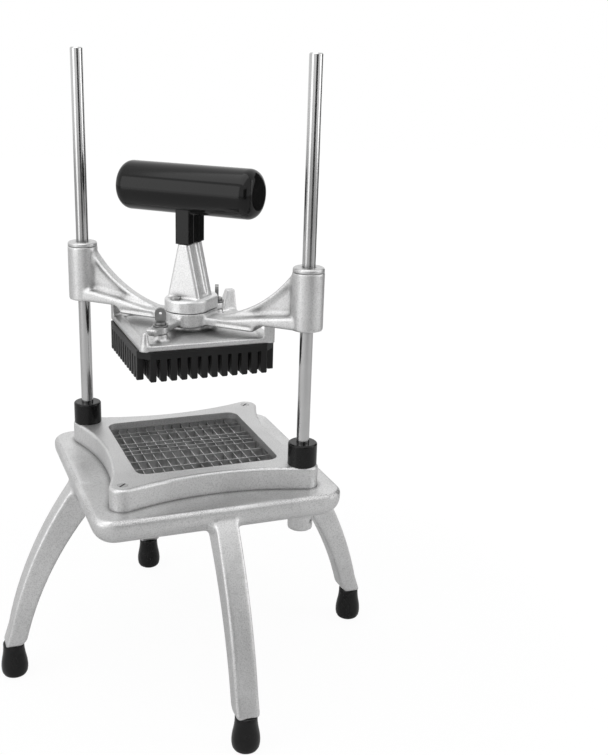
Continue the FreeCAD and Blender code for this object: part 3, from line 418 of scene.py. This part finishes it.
def remeshed(item, voxel):
    step = item.modifiers.new("remesh", "REMESH")
    step.mode = "VOXEL"
    step.voxel_size = voxel * MM
    step.use_smooth_shade = True


def swollen(item, distance):
    step = item.modifiers.new("swell", "DISPLACE")
    step.direction = "NORMAL"
    step.mid_level = 0
    step.strength = distance * MM


def cut_by(item, cutter):
    step = item.modifiers.new("cut", "BOOLEAN")
    step.operation = "DIFFERENCE"
    step.solver = "MANIFOLD"
    step.object = cutter


def casting(node, body, voxel, fillet, cuts, lumps=None, smoothing=2):
    """Replaces a cast node by its own shape with fillets of that radius."""
    shape = bmesh.new()
    shape.from_mesh(NODES[node].data)
    if lumps:
        lumps(shape)
    blank = made_object(node + "_blank", shape)
    tool = bmesh.new()
    cuts(tool)
    cutter = made_object(node + "_cutter", tool)
    remeshed(blank, voxel)
    swollen(blank, fillet)
    remeshed(blank, voxel)
    swollen(blank, -fillet)
    remeshed(blank, voxel)
    cut_by(blank, cutter)
    remeshed(blank, voxel)
    smooth = blank.modifiers.new("smooth", "SMOOTH")
    smooth.factor = 0.5
    smooth.iterations = smoothing
    view = bpy.context.evaluated_depsgraph_get()
    mesh = bpy.data.meshes.new_from_object(blank.evaluated_get(view))
    mesh.name = node + "_cast"
    bpy.data.objects.remove(blank)
    bpy.data.objects.remove(cutter)
    mesh.materials.clear()
    mesh.materials.append(finish_of(node, "cast_aluminium"))
    for polygon in mesh.polygons:
        polygon.use_smooth = True
    item = bpy.data.objects.new(node + "_cast", mesh)
    bpy.context.scene.collection.objects.link(item)
    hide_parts(node)
    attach(item, body)


def stand_cuts(cutter):
    """The stand's holes for rods, set screws, frame screws and foot studs."""
    for side in (-1, 1):
        rod, screw, foot = ROD_OFFSET * side, FRAME_SCREW_OFFSET * side, FOOT_REACH * side
        drill(cutter, ROD_HOLE, rod, -rod, ROD_HOLE_FLOOR, OVER_PLATE)
        side_drill(cutter, SET_SCREW_HOLE, side, 104, 118, SET_SCREW_HEIGHT)
        drill(cutter, FRAME_SCREW_HOLE, screw, screw, FRAME_SCREW_FLOOR, OVER_PLATE)
        drill(cutter, STUD_HOLE, foot, 0, 20, 38)
        drill(cutter, STUD_HOLE, 0, foot, 20, 38)


def ear_hole(side):
    """The X and Y of a clamp ear's hole."""
    return diagonal(0, EAR_REACH * side)


def pedestal_screw(side):
    """The X and Y of a pedestal screw."""
    along, across = PEDESTAL_SCREW_PLACE
    return diagonal(along * side, across * side)


def arm_cuts(cutter):
    """The arm's bores and holes, and the hollows along its webs."""
    for side in (-1, 1):
        x, y = ROD_OFFSET * side, -ROD_OFFSET * side
        drill(cutter, SLEEVE_BORE, x, y, HEAD_HEIGHT - 5, SLEEVE_TOP + 5)
        drill(cutter, BUSH_BORE, x, y, SLEEVE_TOP - 20, SLEEVE_TOP + 5)
        drill(cutter, EAR_HOLE, *ear_hole(side), UNDER_HEAD, OVER_HUB)
        drill(cutter, PEDESTAL_SCREW_HOLE, *pedestal_screw(side), PEDESTAL_SCREW_FLOOR,
              OVER_HUB)
        for face in (-1, 1):
            ends = [(*diagonal(along * side, WEB_HOLLOW_OFFSET * face), WEB_HOLLOW_HEIGHT)
                    for along in (30, 57)]
            round_bar(cutter, *ends, WEB_HOLLOW)
    drill(cutter, HANDLE_BOLT_HOLE, 0, 0, UNDER_HEAD, OVER_HUB)
    drill(cutter, BOLT_HEAD_HOLE, 0, 0, UNDER_HEAD, BOLT_HEAD_TOP)


def arm_ridges(shape):
    """The two ridges along the front ear, which end in a loop round its tip."""
    tips = []
    for side in (-1, 1):
        start, stop = [(*diagonal(RIDGE_SPREAD * side, across), RIDGE_HEIGHT)
                       for across in (RIDGE_START, RIDGE_END)]
        round_bar(shape, start, stop, RIDGE)
        tips.append(stop)
    round_bar(shape, *tips, RIDGE)


def pedestal_cuts(cutter):
    """The post's bore and the disc's screw holes."""
    drill(cutter, POST_BORE, 0, 0, 290, 370)
    for side in (-1, 1):
        drill(cutter, DISC_SCREW_HOLE, *pedestal_screw(side), 300, 330)


def tray_cuts(cutter):
    """The tray's ear holes, and its stepped holes for the block's screws."""
    x, y = TRAY_SCREW_PLACE
    for side in (-1, 1):
        drill(cutter, EAR_HOLE, *ear_hole(side), TRAY_FLOOR, 310)
        for row in (-1, 1):
            drill(cutter, TRAY_SCREW_HEAD, x * side, y * row, TRAY_SCREW_HEAD_FLOOR, 300)
            drill(cutter, TRAY_SCREW_HOLE, x * side, y * row, UNDER_HEAD, 300)


casting("base_stand", "base", 0.95, 3.6, stand_cuts, smoothing=1)
casting("head_arm", "head", 0.65, 2.6, arm_cuts, arm_ridges)
casting("handle_pedestal", "head", 0.4, 0.9, pedestal_cuts, smoothing=3)
casting("pusher_plate", "head", 0.55, 1.6, tray_cuts)


# Feet: hollow rubber boots, turned from one side view

BOOT = ((0, 12), (0, 0), (5.6, 0), (7.6, 0.35), (9.3, 1.5), (10.4, 3.4), (10.9, 6), (11, 9),
        (10.7, 12.5), (10.1, 16), (9.4, 19.5), (8.9, 23), (8.65, 26.5), (8.6, 29.3), (8.2, 30),
        (2.55, 30), (2.55, 12))
BOOT_PLACES = {"foot_right": (1, 0), "foot_back": (0, 1), "foot_left": (-1, 0),
               "foot_front": (0, -1)}


def boot(node):
    """A boot whose sides swell smoothly towards its round sole."""
    shape = bmesh.new()
    x, y = BOOT_PLACES[node]
    middle = Vector((x, y, 0)) * FOOT_REACH * MM
    points = [shape.verts.new(middle + Vector((radius, 0, height)) * MM)
              for radius, height in BOOT]
    runs = [shape.edges.new(pair) for pair in zip(points, points[1:] + points[:1])]
    bmesh.ops.spin(shape, geom=points + runs, cent=middle, axis=(0, 0, 1), steps=48,
                   angle=2 * math.pi)
    bmesh.ops.remove_doubles(shape, verts=shape.verts, dist=0.01 * MM)
    bmesh.ops.recalc_face_normals(shape, faces=shape.faces)
    for face in shape.faces:
        face.smooth = True
    item = made_object(node + "_boot", shape)
    item.data.materials.append(FINISHES["foot_rubber"])
    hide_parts(node)
    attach(item, "base")


for foot in BOOT_PLACES:
    boot(foot)


# Camera, at the photograph's place

CAMERA_PLACE = (-221.58, -775.03, 506.79)
CAMERA_YAW = 20.01
CAMERA_PITCH = 17.81
CAMERA_ROLL = 1.22
CAMERA_LENS = 49.46
CAMERA_SHIFT = 0.0583


def add_camera():
    yaw, pitch, roll = (math.radians(a) for a in (CAMERA_YAW, CAMERA_PITCH, CAMERA_ROLL))
    ahead = Vector((math.sin(yaw) * math.cos(pitch), math.cos(yaw) * math.cos(pitch),
                    -math.sin(pitch)))
    right = Vector((math.cos(yaw), -math.sin(yaw), 0))
    up = right.cross(ahead)
    rolled_right = right * math.cos(roll) + up * math.sin(roll)
    rolled_up = up * math.cos(roll) - right * math.sin(roll)
    turn = Matrix((rolled_right, rolled_up, -ahead)).transposed().to_4x4()
    camera = bpy.data.cameras.new("camera")
    camera.lens = CAMERA_LENS
    camera.shift_x = CAMERA_SHIFT
    camera.clip_start = 0.05
    camera.clip_end = 30
    item = bpy.data.objects.new("camera", camera)
    item.matrix_world = Matrix.Translation(Vector(CAMERA_PLACE) * MM) @ turn
    bpy.context.scene.collection.objects.link(item)
    bpy.context.scene.camera = item


# Studio

def lamp(name, place, aim, size, power):
    light = bpy.data.lights.new(name, "AREA")
    light.shape = "RECTANGLE"
    light.size, light.size_y = size
    light.energy = power
    item = bpy.data.objects.new(name, light)
    item.location = place
    item.rotation_euler = (Vector(aim) - Vector(place)).to_track_quat("-Z", "Y").to_euler()
    bpy.context.scene.collection.objects.link(item)


def sheet_mesh(name, width, height):
    mesh = bpy.data.meshes.new(name)
    corners = [(-width / 2, -height / 2, 0), (width / 2, -height / 2, 0),
               (width / 2, height / 2, 0), (-width / 2, height / 2, 0)]
    mesh.from_pydata(corners, [], [(0, 1, 2, 3)])
    return mesh


def card(name, place, aim, size, level):
    """A grey card beside the set that the metal reflects; the camera doesn't see it."""
    mesh = sheet_mesh(name, *size)
    mesh.materials.append(Finish(name).surface(Base_Color=grey(level), Roughness=0.9))
    item = bpy.data.objects.new(name, mesh)
    item.location = place
    item.rotation_euler = (Vector(aim) - Vector(place)).to_track_quat("Z", "Y").to_euler()
    item.visible_camera = False
    bpy.context.scene.collection.objects.link(item)


def add_world():
    """White to the camera and in reflections, and a softer fill light on everything."""
    world = bpy.data.worlds.new("studio")
    bpy.context.scene.world = world
    sky = Shading(world)
    sight = sky.node("LightPath", output="Is Camera Ray")
    gloss = sky.node("LightPath", output="Is Glossy Ray")
    through = sky.node("LightPath", output="Is Transmission Ray")
    white = sky.node("Background", {}, {"Color": (1, 1, 1, 1), "Strength": 1})
    fill = sky.node("Background", {}, {"Color": (1, 1, 1, 1), "Strength": 0.5})
    plain = sight.or_else(gloss).or_else(through)
    seen = sky.node("MixShader", {}, {0: plain, 1: fill, 2: white})
    sky.node("OutputWorld", {}, {"Surface": seen})


def add_floor():
    """A pale floor that fades into the white round it and keeps the object's shadow."""
    mesh = sheet_mesh("floor", 8, 8)
    paint = Finish("floor")
    along = paint.node("SeparateXYZ", {}, {"Vector": paint.place}, output="X")
    across = paint.node("SeparateXYZ", {}, {"Vector": paint.place}, output="Y")
    away = (along * along + across * across).above(0.04, 0.3)
    matt = paint.node("BsdfDiffuse", {}, {"Color": (0.92, 0.92, 0.92, 1)})
    glow = paint.node("Emission", {}, {"Color": (1, 1, 1, 1), "Strength": 1.02})
    sight = paint.node("LightPath", output="Is Camera Ray")
    seen = paint.node("MixShader", {}, {0: sight * (0.93 + away * 0.07), 1: matt, 2: glow})
    paint.node("OutputMaterial", {}, {"Surface": seen})
    mesh.materials.append(paint.material)
    item = bpy.data.objects.new("floor", mesh)
    bpy.context.scene.collection.objects.link(item)


def add_studio():
    middle = (0, 0, 0.25)
    lamp("lamp_top", (-0.3, -0.2, 1.7), middle, (1.4, 1.4), 8)
    lamp("lamp_left", (-1.6, -0.5, 0.5), middle, (0.9, 2), 7)
    lamp("lamp_right", (1.6, -0.8, 0.8), middle, (0.6, 1.2), 4)
    card("card_right", (1.3, 0.35, 0.4), middle, (0.8, 1.6), 0.05)
    card("card_front", (0.1, -1.7, 0.35), middle, (1, 1.6), 0.06)
    add_world()
    add_floor()
    bpy.context.scene.view_settings.view_transform = "Standard"


add_camera()
add_studio()
